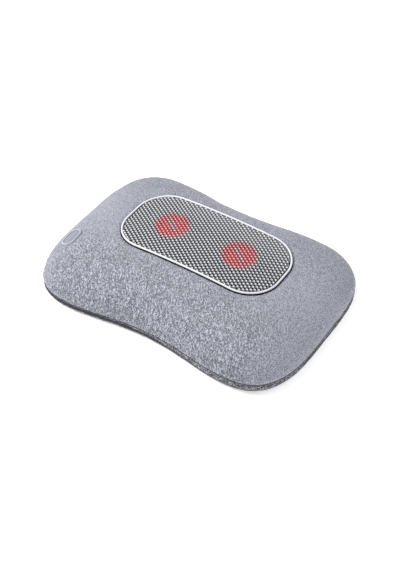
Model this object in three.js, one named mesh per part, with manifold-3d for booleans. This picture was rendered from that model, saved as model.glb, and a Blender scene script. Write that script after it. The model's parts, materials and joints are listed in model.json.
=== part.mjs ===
// Shiatsu massage pillow: two counter-rotating heads work under a mesh panel in a plush cushion.
// Millimetres. +X runs along the pillow, +Y to its back, +Z up; the origin is the middle of the underside.

import * as THREE from 'three';
import { mergeVertices } from 'three/addons/utils/BufferGeometryUtils.js';
import Module from 'manifold-3d';

const wasm = await Module();
wasm.setup();

// ---------- driving dimensions ----------

const gap = 0.3; // between pieces that touch

// cushion: the seam outline is a superellipse whose long sides are pulled in at the waist
const halfLength = 189.5;
const halfWidth = 143;
const outlinePower = 4.1;
const waist = 0.173;
const seamZ = 16;
const baseTuck = 0.046; // share of the outline by which the underside is smaller than the seam
const baseCloth = 1.8;
const plushCloth = 3;
const ringSteps = 56;

// crown of the top cover between the seam and the panel
const crownRise = 1.7;
const crownRound = 2.25;

// mesh panel and its piping
const panelY = 22;
const panelHalfLength = 116;
const panelHalfWidth = 55.5;
const panelCorner = 44;
const panelZ = 64;
const panelEndDrop = 6.2;
const panelDome = 3;
const panelCloth = 3.5;
const pipingRadius = 1.9;

// mechanism housing
const boxHalfLength = 104;
const boxHalfWidth = 46;
const boxCorner = 28;
const boxWall = 2.2;
const boxFloorZ = 5.4;
const boxSplitZ = 25;
const boxRoofZ = 41.5;
const boxRoof = 2;

// massage heads
const headX = 51;
const headRadius = 22.5;
const headTopZ = 60;
const headGroove = 6;
const headAngle = -39; // degrees from +X to the groove at rest
const lobeWall = 2;
const carrierRadius = 24;
const carrierZ = 37.2;
const carrierThick = 4;
const shaftRadius = 4;

// worm drive: one motor shaft with a worm of each hand
const gearModule = 1.25;
const wheelTeeth = 28;
const wormPitchRadius = 4;
const backlash = 0.5;
const wheelWidth = 7;
const wormLength = 18;
const driveZ = 21;
const rotorRadius = 1.5;
const wheelRadius = gearModule * wheelTeeth / 2;
const driveY = panelY - wheelRadius - wormPitchRadius;

// motor and gear cases
const motorRadius = 13;
const motorHalfLength = 20;
const motorWall = 1;
const bellLength = 4;
const caseFloorZ = boxFloorZ + 2 + gap;
const caseTopZ = 27;
const caseRadius = 24;
const caseWall = 3;
const lidThick = 2.5;

// power button on the left end of the crown
const buttonStep = 31.5; // ring step, and how far up the crown from the seam
const buttonRise = 0.305;
const buttonLength = 33;
const buttonWidth = 21;
const bezelWall = 3;
const bezelProud = 1.2;

// charging socket at the back
const socketZ = 29;
const socketFaceY = 118;
const bezelRadius = 9;
const jackRadius = 4.2;

// zip in the underside
const zipY = -60;
const zipHalfLength = 115;
const zipHalfWidth = 13;
const zipStartX = -100;
const tapeZ = 3.9;

// ---------- materials ----------

function finish(color, roughness, metalness = 0) {
  return new THREE.MeshStandardMaterial({ color, roughness, metalness });
}

const plush = finish(0xa6a8b2, 0.95);
const heather = finish(0x6d6f78, 0.95);
const satin = finish(0xe4e6ec, 0.45);
const meshCloth = finish(0xc9cbd0, 0.7);
const foam = finish(0x3b3c41, 0.95);
const caseGrey = finish(0x3a3d42, 0.6);
const acetal = finish(0xe8e6df, 0.4);
const brass = finish(0xb5903f, 0.35, 0.9);
const steel = finish(0xb9bcc0, 0.3, 1);
const motorSteel = finish(0x8d9196, 0.4, 1);
const redLens = finish(0xd8232a, 0.3);
const circuitGreen = finish(0x1d5c3a, 0.5);
const blackPlastic = finish(0x1d1e20, 0.5);
const wrapBlue = finish(0x2f5f9e, 0.45);
const softGrey = finish(0x9a9ca6, 0.8);
const leadBlack = finish(0x26272a, 0.6);
const zipGrey = finish(0x5c5f66, 0.8);

// ---------- solids ----------

function solidOf(geometry) {
  const bare = geometry.clone();
  bare.deleteAttribute('normal');
  bare.deleteAttribute('uv');
  const merged = mergeVertices(bare, 1e-4);
  const index = merged.index.array;
  const faces = [];
  for (let i = 0; i < index.length; i += 3) {
    const [a, b, c] = [index[i], index[i + 1], index[i + 2]];
    if (a !== b && b !== c && c !== a) faces.push(a, b, c);
  }
  const triVerts = new Uint32Array(faces);
  const vertProperties = new Float32Array(merged.attributes.position.array);
  return new wasm.Manifold(new wasm.Mesh({ numProp: 3, vertProperties, triVerts }));
}

function geometryOf(solid) {
  const mesh = solid.getMesh();
  const geometry = new THREE.BufferGeometry();
  geometry.setAttribute('position', new THREE.BufferAttribute(mesh.vertProperties, 3));
  geometry.setIndex(new THREE.BufferAttribute(mesh.triVerts, 1));
  geometry.computeVertexNormals();
  return geometry;
}

const join = (...parts) => geometryOf(parts.map(solidOf).reduce((a, b) => a.add(b)));
const cut = (body, ...tools) => geometryOf(tools.map(solidOf).reduce((a, b) => a.subtract(b), solidOf(body)));
const common = (a, b) => geometryOf(solidOf(a).intersect(solidOf(b)));

function block(x0, x1, y0, y1, z0, z1) {
  const box = new THREE.BoxGeometry(x1 - x0, y1 - y0, z1 - z0);
  return box.translate((x0 + x1) / 2, (y0 + y1) / 2, (z0 + z1) / 2);
}

// a cylinder along an axis; the two other coordinates follow in x, y, z order
function rod(axis, radius, from, to, u, v, sides = 16) {
  const cylinder = new THREE.CylinderGeometry(radius, radius, to - from, sides);
  const middle = (from + to) / 2;
  if (axis === 'x') return cylinder.rotateZ(-Math.PI / 2).translate(middle, u, v);
  if (axis === 'y') return cylinder.translate(u, middle, v);
  return cylinder.rotateX(Math.PI / 2).translate(u, v, middle);
}

function turned(profile, sides = 16) {
  const points = profile.map(([radius, z]) => new THREE.Vector2(radius, z));
  return new THREE.LatheGeometry(points, sides).rotateX(Math.PI / 2);
}

function roundedOutline(halfX, halfY, radius) {
  const shape = new THREE.Shape();
  shape.moveTo(halfX, radius - halfY);
  shape.absarc(halfX - radius, halfY - radius, radius, 0, Math.PI / 2);
  shape.absarc(radius - halfX, halfY - radius, radius, Math.PI / 2, Math.PI);
  shape.absarc(radius - halfX, radius - halfY, radius, Math.PI, Math.PI * 1.5);
  shape.absarc(halfX - radius, radius - halfY, radius, Math.PI * 1.5, Math.PI * 2);
  return shape;
}

function slab(halfX, halfY, radius, z0, z1, arcSteps = 4) {
  const settings = { depth: z1 - z0, bevelEnabled: false, curveSegments: arcSteps };
  return new THREE.ExtrudeGeometry(roundedOutline(halfX, halfY, radius), settings).translate(0, 0, z0);
}

function volumeOf(triangles) {
  let sum = 0;
  for (const [a, b, c] of triangles) sum += a.dot(b.clone().cross(c)) / 6;
  return sum;
}

function soupOf(triangles) {
  const outward = volumeOf(triangles) > 0;
  const corners = triangles.flatMap(([a, b, c]) => (outward ? [a, b, c] : [a, c, b]));
  return new THREE.BufferGeometry().setFromPoints(corners);
}

function fan(loop, centre, flip) {
  return loop.map((point, i) => {
    const next = loop[(i + 1) % loop.length];
    return flip ? [centre, next, point] : [centre, point, next];
  });
}

function middleOf(ring) {
  const sum = ring.reduce((total, point) => total.add(point), new THREE.Vector3());
  return sum.divideScalar(ring.length);
}

// skin through matching rings; a closed loft joins its last ring to its first, an open one is capped
function loft(rings, closed) {
  const triangles = [];
  const spans = closed ? rings.length : rings.length - 1;
  for (let r = 0; r < spans; r += 1) {
    const low = rings[r];
    const high = rings[(r + 1) % rings.length];
    low.forEach((point, i) => {
      const j = (i + 1) % low.length;
      triangles.push([point, low[j], high[j]], [point, high[j], high[i]]);
    });
  }
  if (!closed) {
    const last = rings[rings.length - 1];
    triangles.push(...fan(rings[0], middleOf(rings[0]), true), ...fan(last, middleOf(last), false));
  }
  return soupOf(triangles);
}

function lead(points, radius, steps) {
  const path = new THREE.CatmullRomCurve3(points.map((point) => new THREE.Vector3(...point)));
  const section = new THREE.Shape();
  section.absarc(0, 0, radius, 0, Math.PI * 2);
  const settings = { extrudePath: path, steps, curveSegments: 3, bevelEnabled: false };
  return new THREE.ExtrudeGeometry(section, settings);
}

// ---------- outlines ----------

// a ring of ringSteps points from the quarter between +X and +Y
function ringFrom(quarter) {
  const steps = ringSteps / 4;
  const ring = [];
  for (let k = 0; k < ringSteps; k += 1) {
    const turn = Math.floor(k / steps);
    const i = k % steps;
    const point = quarter[turn % 2 ? steps - i : i];
    const signX = turn === 0 || turn === 3 ? 1 : -1;
    const signY = turn < 2 ? 1 : -1;
    ring.push(new THREE.Vector2(point.x * signX, point.y * signY));
  }
  return ring;
}

class SeamQuarter extends THREE.Curve {
  getPoint(t) {
    const angle = t * Math.PI / 2;
    const x = Math.max(Math.cos(angle), 0) ** (2 / outlinePower);
    const y = Math.sin(angle) ** (2 / outlinePower);
    const pull = 1 - waist * Math.cos(Math.PI * x / 2) ** 2;
    return new THREE.Vector3(halfLength * x, halfWidth * y * pull, 0);
  }
}

function seamRing() {
  const quarter = new SeamQuarter();
  quarter.arcLengthDivisions = 2000;
  return ringFrom(quarter.getSpacedPoints(ringSteps / 4));
}

function rectangleRing(halfX, halfY, radius) {
  const path = new THREE.Path();
  path.moveTo(halfX, 0);
  path.lineTo(halfX, halfY - radius);
  path.absarc(halfX - radius, halfY - radius, radius, 0, Math.PI / 2);
  path.lineTo(0, halfY);
  return ringFrom(path.getSpacedPoints(ringSteps / 4));
}

// the panel's outline, larger or smaller by grow
const panelRing = (grow) => rectangleRing(
  panelHalfLength + grow, panelHalfWidth + grow, Math.max(panelCorner + grow, 2));
const rimZ = (x) => panelZ - panelEndDrop * (x / panelHalfLength) ** 2;

const seam = seamRing();
const coverRim = panelRing(pipingRadius + gap);

// a ring's point, also between two of its steps
function ringPoint(ring, k) {
  const step = Math.floor(k);
  const from = ring[(step + ring.length) % ring.length];
  const to = ring[(step + 1 + ring.length) % ring.length];
  return from.clone().lerp(to, k - step);
}

function crownPoint(rise, k) {
  const low = ringPoint(seam, k);
  const high = ringPoint(coverRim, k);
  const x = low.x + (high.x - low.x) * rise;
  const y = low.y + (high.y + panelY - low.y) * rise;
  const lift = (1 - (1 - rise) ** crownRise) ** (1 / crownRound);
  return new THREE.Vector3(x, y, seamZ + gap / 2 + (rimZ(high.x) - seamZ) * lift);
}

function crownNormal(rise, k) {
  const step = 0.004;
  const from = Math.min(rise, 1 - step);
  const along = crownPoint(rise, k + 1).sub(crownPoint(rise, k - 1));
  const up = crownPoint(from + step, k).sub(crownPoint(from, k));
  return along.cross(up).normalize();
}

function crownRing(rise, depth) {
  return seam.map((_, k) => crownPoint(rise, k).addScaledVector(crownNormal(rise, k), -depth));
}

// the base cloth between the floor (level 0) and the seam (level 1)
function baseRing(level, depth, z) {
  const size = 1 - baseTuck * (1 - Math.sin(level * Math.PI / 2));
  const scaleX = size - depth / halfLength;
  const scaleY = size - depth / halfWidth;
  return seam.map((point) => new THREE.Vector3(point.x * scaleX, point.y * scaleY, z));
}

const crownRises = [0, 0.025, 0.1, 0.26, 0.56, 1];

// ---------- button frame, on the crown ----------

const buttonOrigin = crownPoint(buttonRise, buttonStep);
const buttonUp = crownNormal(buttonRise, buttonStep);
const buttonAlong = new THREE.Vector3(0, 1, 0).addScaledVector(buttonUp, -buttonUp.y).normalize();
const buttonFrame = new THREE.Matrix4().makeBasis(
  buttonAlong, buttonUp.clone().cross(buttonAlong), buttonUp).setPosition(buttonOrigin);

function buttonSlab(inset, z0, z1) {
  const halfX = buttonLength / 2 - inset;
  const halfY = buttonWidth / 2 - inset;
  return slab(halfX, halfY, halfY - 0.01, z0, z1, 5);
}

const onButton = (geometry) => geometry.applyMatrix4(buttonFrame);
const buttonDepth = 17;

// ---------- leads ----------

const buttonFoot = new THREE.Vector3(0, 0, -buttonDepth).applyMatrix4(buttonFrame);
const buttonLeadPath = [
  [buttonFoot.x, buttonFoot.y, buttonFoot.z],
  [-152, -50, 24], [-134, -34, 21], [-116, -14, 28], [-100, -6, 31],
];
const socketLeadPath = [
  [0, 95.6, socketZ], [0, 91, socketZ - 0.6], [0, 81, 20], [0, 72, 15.6], [0, 62, 15.6],
];
const leadRadius = 1.4;

// ---------- covers and padding ----------

function topCover() {
  const outer = crownRises.map((rise) => crownRing(rise, 0));
  const inner = crownRises.map((rise) => crownRing(rise, plushCloth)).reverse();
  const shell = loft([...outer, ...inner], true);
  const buttonHole = onButton(buttonSlab(-gap, -14, 6));
  return cut(shell, buttonHole, rod('y', bezelRadius + gap, 100, 125, 0, socketZ, 20));
}

function baseCover() {
  const levels = [0, 0.35, 0.7, 1];
  const topZ = seamZ - gap / 2;
  const outer = levels.map((level) => baseRing(level, 0, topZ * level));
  const inner = levels
    .map((level) => baseRing(level, baseCloth, Math.max(topZ * level, baseCloth)))
    .reverse();
  const tray = loft([...outer, ...inner], false);
  return cut(tray, block(-zipHalfLength, zipHalfLength, zipY - zipHalfWidth, zipY + zipHalfWidth, -1, 3));
}

function meshPanel() {
  const insets = [pipingRadius + gap, 12, 28, panelHalfWidth - 4];
  const reach = panelHalfWidth - 4;
  const layer = (drop) => insets.map((inset) => panelRing(-inset).map((point) => {
    const lift = panelDome * (1 - (1 - inset / reach) ** 2);
    return new THREE.Vector3(point.x, point.y + panelY, rimZ(point.x) + lift - drop);
  }));
  return loft([...layer(0).reverse(), ...layer(panelCloth)], false);
}

function panelPiping() {
  const sides = 5;
  const centres = panelRing(0);
  const outwards = panelRing(1);
  const rings = [];
  for (let s = 0; s < sides; s += 1) {
    const angle = s / sides * Math.PI * 2;
    rings.push(centres.map((centre, k) => {
      const out = outwards[k].clone().sub(centre).normalize().multiplyScalar(Math.cos(angle) * pipingRadius);
      const z = rimZ(centre.x) + 0.5 + Math.sin(angle) * pipingRadius;
      return new THREE.Vector3(centre.x + out.x, centre.y + out.y + panelY, z);
    }));
  }
  return loft(rings, true);
}

function foamSurround() {
  const bottomZ = baseCloth + gap;
  const hole = rectangleRing(boxHalfLength + 1.5, boxHalfWidth + 1.5, boxCorner + 1.5);
  const holeAt = (height) => hole.map((point) => new THREE.Vector3(point.x, point.y + panelY, height(point)));
  const body = loft([
    baseRing(0, baseCloth + gap, bottomZ),
    ...crownRises.map((rise) => crownRing(rise, plushCloth + gap)),
    holeAt((point) => rimZ(point.x) - 6),
    holeAt(() => bottomZ),
  ], true);
  return cut(
    body,
    block(-zipHalfLength - 1, zipHalfLength + 1, zipY - 17, zipY + 17, 0, 6.8),
    onButton(buttonSlab(-2 * gap, -buttonDepth - gap, 6)),
    rod('y', bezelRadius + 2 * gap, 107, 125, 0, socketZ, 20),
    block(-6.5, 6.5, 95.5, 108, socketZ - 6.5, socketZ + 6.5),
    lead(buttonLeadPath, leadRadius + 0.6, 16),
    lead(socketLeadPath, leadRadius + 0.6, 12),
  );
}

const basePad = () => slab(
  boxHalfLength + 0.5, boxHalfWidth + 0.5, boxCorner, baseCloth + gap, boxFloorZ - gap)
  .translate(0, panelY, 0);

// ---------- mechanism housing ----------

const screwSpots = [[-80, -39], [80, -39], [-80, 39], [80, 39]]; // from the housing's centre
const postRadius = 3.6;
const screwHole = 1.9;

function boxShell(z0, z1, inset) {
  return slab(boxHalfLength - inset, boxHalfWidth - inset, boxCorner - inset, z0, z1).translate(0, panelY, 0);
}

function housingLower() {
  const floorTop = boxFloorZ + 2;
  const tray = cut(boxShell(boxFloorZ, boxSplitZ, 0), boxShell(floorTop, boxSplitZ + 1, boxWall));
  const posts = screwSpots.map(([x, y]) => rod('z', postRadius, floorTop - 0.5, boxSplitZ, x, panelY + y, 8));
  const boardPosts = [[-18, 24], [18, 24], [-18, 56], [18, 56]]
    .map(([x, y]) => rod('z', 2.5, floorTop - 0.5, 11.7, x, y, 6));
  const saddles = [-12, 12].map((x) => cut(
    block(x - 1.5, x + 1.5, driveY - 12, driveY + 12, floorTop - 0.5, 15),
    rod('x', motorRadius + gap, x - 3, x + 3, driveY, driveZ, 16)));
  const holes = screwSpots.map(([x, y]) => rod('z', screwHole, 10, boxSplitZ + 1, x, panelY + y, 8));
  const leadWay = lead(socketLeadPath, leadRadius + 0.6, 12);
  return cut(join(tray, ...posts, ...boardPosts, ...saddles), ...holes, leadWay);
}

function housingUpper() {
  const floorZ = boxSplitZ + gap;
  const lid = cut(boxShell(floorZ, boxRoofZ, 0), boxShell(floorZ - 1, boxRoofZ - boxRoof, boxWall));
  const posts = screwSpots.map(([x, y]) => rod('z', postRadius, floorZ, boxRoofZ - 1, x, panelY + y, 8));
  const holes = screwSpots.map(([x, y]) => rod('z', screwHole, floorZ - 1, boxRoofZ + 1, x, panelY + y, 8));
  const mouths = [-headX, headX].map((x) => rod('z', carrierRadius + 2, 30, boxRoofZ + 1, x, panelY, 24));
  return cut(join(lid, ...posts), ...holes, ...mouths, lead(buttonLeadPath, leadRadius + 0.6, 16));
}

function housingScrew() {
  const head = boxRoofZ + gap;
  return turned([
    [0, 12], [1.5, 12], [1.5, head], [3, head], [3, head + 1.2], [2.2, head + 2], [0, head + 2],
  ], 8);
}

// ---------- worm drive ----------

const toothDepth = 1.25 * gearModule;
const pitch = Math.PI * gearModule;
const toothHalf = (pitch - backlash) / 4; // half a tooth at the pitch line
const flank = Math.tan(Math.PI / 9);
const tipHalf = toothHalf - gearModule * flank;
const rootHalf = toothHalf + toothDepth * flank;

// the wheel's teeth slant by the worm's lead angle; hand is 1 for a right-hand worm, -1 for a left-hand one
function wormWheel(hand) {
  const slant = hand * pitch / (2 * Math.PI * wormPitchRadius) / wheelRadius;
  const tip = wheelRadius + gearModule;
  const root = wheelRadius - toothDepth;
  const ringAt = (z) => {
    const ring = [];
    for (let tooth = 0; tooth < wheelTeeth; tooth += 1) {
      const middle = -Math.PI / 2 + (tooth + 0.5) * 2 * Math.PI / wheelTeeth + slant * z;
      for (const [radius, half] of [[root, -rootHalf], [tip, -tipHalf], [tip, tipHalf], [root, rootHalf]]) {
        const angle = middle + half / radius;
        ring.push(new THREE.Vector3(radius * Math.cos(angle), radius * Math.sin(angle), z));
      }
    }
    return ring;
  };
  const blank = loft([-wheelWidth / 2, wheelWidth / 2].map(ringAt), false);
  const windows = [0, 1, 2, 3, 4].map((i) => {
    const angle = i * 2 * Math.PI / 5;
    return rod('z', 3.2, -wheelWidth, wheelWidth, 10 * Math.cos(angle), 10 * Math.sin(angle), 8);
  });
  return cut(blank, rod('z', shaftRadius + gap, -wheelWidth, wheelWidth, 0, 0), ...windows);
}

// helical thread along X with its crest at x = 0 on the +Y side
function worm(hand) {
  const sides = 12;
  const turns = Math.ceil(wormLength / pitch) + 3;
  const corners = [[-rootHalf, -1], [-tipHalf, 1], [tipHalf, 1], [rootHalf, -1]];
  const root = wormPitchRadius - toothDepth;
  const tip = wormPitchRadius + gearModule;
  const lines = [];
  for (let turn = 0; turn < turns; turn += 1) {
    for (const [offset, side] of corners) {
      const radius = side > 0 ? tip : root;
      const line = [];
      for (let j = 0; j <= sides; j += 1) {
        const angle = j / sides * 2 * Math.PI;
        const x = offset + pitch * (turn - turns / 2 + angle / (2 * Math.PI));
        line.push(new THREE.Vector3(x, radius * Math.cos(angle), radius * Math.sin(angle)));
      }
      lines.push(line);
    }
  }
  const triangles = [];
  for (let i = 0; i + 1 < lines.length; i += 1) {
    for (let j = 0; j < sides; j += 1) {
      const [a, b, c, d] = [lines[i][j], lines[i + 1][j], lines[i + 1][j + 1], lines[i][j + 1]];
      triangles.push([a, b, c], [a, c, d]);
    }
  }
  const count = lines.length;
  const startLoop = [...lines[0], lines[3][0], lines[2][0], lines[1][0]];
  const endLoop = [...lines[count - 1]].reverse();
  endLoop.push(lines[count - 4][sides], lines[count - 3][sides], lines[count - 2][sides]);
  triangles.push(...fan(startLoop, new THREE.Vector3(lines[0][0].x, 0, 0), false));
  triangles.push(...fan(endLoop, new THREE.Vector3(lines[count - 1][sides].x, 0, 0), false));
  const thread = common(soupOf(triangles), rod('x', tip + 1, -wormLength / 2, wormLength / 2, 0, 0));
  const bored = cut(thread, rod('x', rotorRadius + gap, -wormLength, wormLength, 0, 0, 12));
  return hand > 0 ? bored : geometryOf(solidOf(bored).mirror([0, 0, 1]));
}

// a gear case seen with its wheel's axis at the origin; the worm lies on its -Y side
const wormY = driveY - panelY;
const wormRoom = 11.5;
const wormBack = wormY - 6;

function gearCase() {
  const outer = join(
    rod('z', caseRadius, caseFloorZ, caseTopZ, 0, 0, 20),
    block(-wormRoom - 2, wormRoom + 2, wormBack - 2, 0, caseFloorZ, caseTopZ));
  const innerZ = caseFloorZ + 2;
  const hollow = cut(
    outer,
    rod('z', caseRadius - caseWall, innerZ, caseTopZ + 1, 0, 0, 20),
    block(-wormRoom, wormRoom, wormBack, 0, innerZ, caseTopZ + 1),
    rod('x', rotorRadius + gap, -wormRoom - 3, wormRoom + 3, wormY, driveZ, 12));
  const boss = cut(rod('z', 7, innerZ - 0.5, 15, 0, 0), rod('z', shaftRadius + gap, innerZ, 16, 0, 0));
  return join(hollow, boss);
}

function gearLid() {
  const z0 = caseTopZ + gap;
  const lid = join(
    rod('z', caseRadius, z0, z0 + lidThick, 0, 0, 20),
    block(-wormRoom - 2, wormRoom + 2, wormBack - 2, 0, z0, z0 + lidThick),
    rod('z', 7, z0, z0 + lidThick + 3, 0, 0));
  return cut(lid, rod('z', shaftRadius + gap, z0 - 1, z0 + 8, 0, 0));
}

const outputShaft = () => rod('z', shaftRadius, caseFloorZ + 2 + gap, carrierZ + carrierThick - 0.2, 0, 0);

// ---------- massage heads ----------

function carrier() {
  const top = carrierZ + carrierThick;
  const windows = [45, 135, 225, 315].map((degrees) => {
    const angle = degrees * Math.PI / 180;
    return rod('z', 4.5, carrierZ - 1, top + 1, 14 * Math.cos(angle), 14 * Math.sin(angle), 8);
  });
  return cut(
    rod('z', carrierRadius, carrierZ, top, 0, 0, 24),
    rod('z', shaftRadius + gap, carrierZ - 1, top + 1, 0, 0),
    ...windows);
}

function headDome(inset) {
  const radius = headRadius - inset;
  const top = headTopZ - inset;
  const round = 9 - inset / 2;
  const foot = carrierZ + carrierThick + gap;
  const profile = [[0, foot], [radius, foot]];
  for (let i = 0; i <= 3; i += 1) {
    const angle = i / 3 * Math.PI / 2 * 0.86;
    profile.push([radius - round + round * Math.cos(angle), top - 1 - round + round * Math.sin(angle)]);
  }
  profile.push([0, top]);
  return turned(profile, 20);
}

// one half of a head: a hollow translucent cap on the +Y side of the groove
function lobe() {
  const reach = headRadius + 1;
  const side = (inset) => block(-reach, reach, headGroove / 2 + inset, reach, 0, headTopZ + 1);
  const shell = common(headDome(0), side(0));
  const hollow = common(headDome(lobeWall).translate(0, 0, -0.5), side(lobeWall));
  const foot = carrierZ + carrierThick;
  return cut(shell, hollow, rod('z', 7.4, foot - 1, foot + 3.6, 0, 0));
}

function hubScrew() {
  const seat = carrierZ + carrierThick + gap;
  return turned([
    [0, seat], [6.6, seat], [6.6, seat + 0.8], [4, seat + 0.8], [3.6, seat + 3], [0, seat + 3],
  ], 16);
}

const boardZ = caseTopZ + lidThick + 2 * gap;

function lightBoard() {
  return cut(
    rod('z', 20, boardZ, boardZ + 1.6, 0, 0, 24),
    rod('z', 8, boardZ - 1, boardZ + 3, 0, 0));
}

function led() {
  const seat = boardZ + 1.6 + gap;
  return turned([[0, seat], [2.5, seat], [2.5, seat + 1.8], [1.8, seat + 3], [0, seat + 3.4]], 8);
}

// ---------- motor ----------

function motorCan() {
  const can = rod('x', motorRadius, -motorHalfLength, motorHalfLength, 0, 0, 24);
  return cut(
    can,
    rod('x', motorRadius - motorWall, motorWall - motorHalfLength, motorHalfLength + 1, 0, 0, 24),
    rod('x', rotorRadius + gap, -motorHalfLength - 1, 0, 0, 0, 12));
}

function motorEndBell() {
  const x0 = motorHalfLength + gap;
  return cut(
    join(rod('x', motorRadius, x0, x0 + bellLength, 0, 0, 24), rod('x', 4, x0, x0 + bellLength + 2, 0, 0)),
    rod('x', rotorRadius + gap, x0 - 1, x0 + bellLength + 3, 0, 0, 12));
}

function motorArmature() {
  return cut(rod('x', 7.5, -12, 12, 0, 0, 16), rod('x', rotorRadius + gap, -13, 13, 0, 0, 12));
}

const rotorShaft = () => rod('x', rotorRadius, -headX - wormRoom - 1.5, headX + wormRoom + 1.5, 0, 0, 12);

// ---------- electronics ----------

const cellX = 87;
const cellZ = 18.5;
const cellRadius = 9.2;
const batteryCell = (x) => rod('y', cellRadius, panelY - 32.5, panelY + 32.5, x, cellZ, 20);
const batteryCradle = (x) => cut(
  block(x - 8, x + 8, panelY - 20, panelY + 20, caseFloorZ, 14),
  rod('y', cellRadius + gap, panelY - 30, panelY + 30, x, cellZ, 20));
const controlBoard = () => block(-22, 22, 20, 60, 12, 13.6);
const motorDriver = () => block(-7, 3, 42, 52, 13.9, 16.5);
const boardCapacitor = () => rod('z', 4, 13.9, 25, 12, 46, 14);

// ---------- button and socket ----------

const buttonBezel = () => cut(buttonSlab(0, -7, bezelProud), buttonSlab(bezelWall, -8, 3));

function powerButton() {
  const cap = buttonSlab(bezelWall + 0.4, -3.4, 0.5);
  return join(cap, rod('z', 2.2, -6.6, -3, 0, 0, 12));
}

function buttonCase() {
  const top = -7 - gap;
  return cut(
    buttonSlab(0, -buttonDepth + gap, top),
    buttonSlab(1.8, -buttonDepth + gap + 1.6, top + 1),
    rod('z', leadRadius + 0.6, -buttonDepth - 1, -buttonDepth + 3, 0, 0, 8));
}

const buttonBoard = () => cut(
  buttonSlab(2.4, -14.4, -13),
  block(-8, -4, -2, 2, -15, -12));
const tactSwitch = () => join(block(-3, 3, -3, 3, -12.7, -9.4), rod('z', 1.7, -9.5, -8.3, 0, 0, 12));

function chargeSocket() {
  const bodyBack = 96.3;
  return join(
    cut(
      join(
        block(-5.5, 5.5, bodyBack, 107.5, socketZ - 5.5, socketZ + 5.5),
        rod('y', jackRadius, 107, socketFaceY, 0, socketZ, 16)),
      rod('y', 2.9, 106, socketFaceY + 1, 0, socketZ, 16)),
    rod('y', 1, 105, socketFaceY - 2, 0, socketZ, 8));
}

function socketBezel() {
  const back = 112;
  const face = socketFaceY + 0.2;
  return cut(
    rod('y', bezelRadius, back, face, 0, socketZ, 24),
    rod('y', jackRadius + gap, back - 1, face + 1, 0, socketZ, 16));
}

// ---------- zip ----------

const tapeThick = 0.8;
const beadInner = 0.9;

// one side of the zip; side is -1 for the front tape, 1 for the rear one
function zipTape(side) {
  const length = zipHalfLength - gap;
  const y = (from, to) => (side > 0 ? [zipY + from, zipY + to] : [zipY - to, zipY - from]);
  return join(
    block(-length, length, ...y(beadInner + 0.5, 16), tapeZ, tapeZ + tapeThick),
    block(-length, length, ...y(beadInner, beadInner + 1.6), tapeZ - 0.4, tapeZ + tapeThick + 0.4));
}

const pullPivotZ = 1.6;

// made about the middle of the slider, with its loop for the pull underneath
function zipSlider() {
  const beadLow = tapeZ - 0.4 - gap;
  const beadHigh = tapeZ + tapeThick + 0.4 + gap;
  const loop = cut(block(-3, 3, -1, 1, 0.5, beadLow - 0.5), block(-2, 2, -2, 2, 1, 2.2));
  return join(
    block(-4.5, 4.5, -3.5, 3.5, beadLow - 1, beadLow),
    block(-4.5, 4.5, -3.5, 3.5, beadHigh, beadHigh + 0.9),
    block(-1.5, 1.5, -0.5, 0.5, beadLow - 0.5, beadHigh + 0.5),
    loop);
}

// the pull's bar lies in the slider's loop and its blade bends down to the floor
function zipPull() {
  const half = 0.35;
  const side = new THREE.Shape([
    [-half, -half], [3.9, -half], [6.3, -1.5], [21, -1.5],
    [21, -0.8], [6.6, -0.8], [4.2, half], [-half, half],
  ].map(([x, z]) => new THREE.Vector2(x, z)));
  const strip = new THREE.ExtrudeGeometry(side, { depth: 6, bevelEnabled: false });
  strip.rotateX(Math.PI / 2).translate(0, 3, 0);
  return cut(strip, block(half, 3.7, -1.4, 1.4, -3, 3), rod('z', 1.6, -4, 2, 17.5, 0, 12));
}

// ---------- assembly ----------

const pillow = new THREE.Group();

function place(parent, name, geometry, material) {
  const mesh = new THREE.Mesh(geometryOf(solidOf(geometry)), material);
  mesh.name = name;
  parent.add(mesh);
  return mesh;
}

function groupAt(x, y, z) {
  const group = new THREE.Group();
  group.position.set(x, y, z);
  pillow.add(group);
  return group;
}

place(pillow, 'base_cover', baseCover(), heather);
place(pillow, 'top_cover', topCover(), plush);
place(pillow, 'mesh_panel', meshPanel(), meshCloth);
place(pillow, 'panel_piping', panelPiping(), satin);
place(pillow, 'foam_surround', foamSurround(), foam);
place(pillow, 'base_pad', basePad(), foam);
place(pillow, 'housing_lower', housingLower(), caseGrey);
place(pillow, 'housing_upper', housingUpper(), caseGrey);
screwSpots.forEach(([x, y], i) => {
  place(pillow, `housing_screw_${i + 1}`, housingScrew(), steel).position.set(x, panelY + y, 0);
});

for (const [side, x, hand] of [['left', -headX, 1], ['right', headX, -1]]) {
  const stack = groupAt(x, panelY, 0);
  place(stack, `gear_case_${side}`, gearCase(), acetal);
  place(stack, `gear_lid_${side}`, gearLid(), acetal);
  place(stack, `worm_wheel_${side}`, wormWheel(hand), acetal).position.z = driveZ;
  place(stack, `output_shaft_${side}`, outputShaft(), steel);
  place(stack, `light_board_${side}`, lightBoard(), circuitGreen);
  [-1, 1].forEach((end, i) => {
    place(stack, `led_${side}_${i + 1}`, led(), redLens).position.y = 14 * end;
  });
  const head = new THREE.Group();
  head.rotation.z = headAngle * Math.PI / 180;
  stack.add(head);
  place(head, `carrier_${side}`, carrier(), blackPlastic);
  place(head, `hub_screw_${side}`, hubScrew(), steel);
  place(head, `massage_lobe_${side}_rear`, lobe(), redLens);
  place(head, `massage_lobe_${side}_front`, lobe(), redLens).rotation.z = Math.PI;
  const drive = groupAt(x, driveY, driveZ);
  place(drive, `worm_${side}`, worm(hand), brass);
}

const motor = groupAt(0, driveY, driveZ);
place(motor, 'motor_can', motorCan(), motorSteel);
place(motor, 'motor_end_bell', motorEndBell(), blackPlastic);
place(motor, 'motor_armature', motorArmature(), motorSteel);
place(motor, 'rotor_shaft', rotorShaft(), steel);

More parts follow.
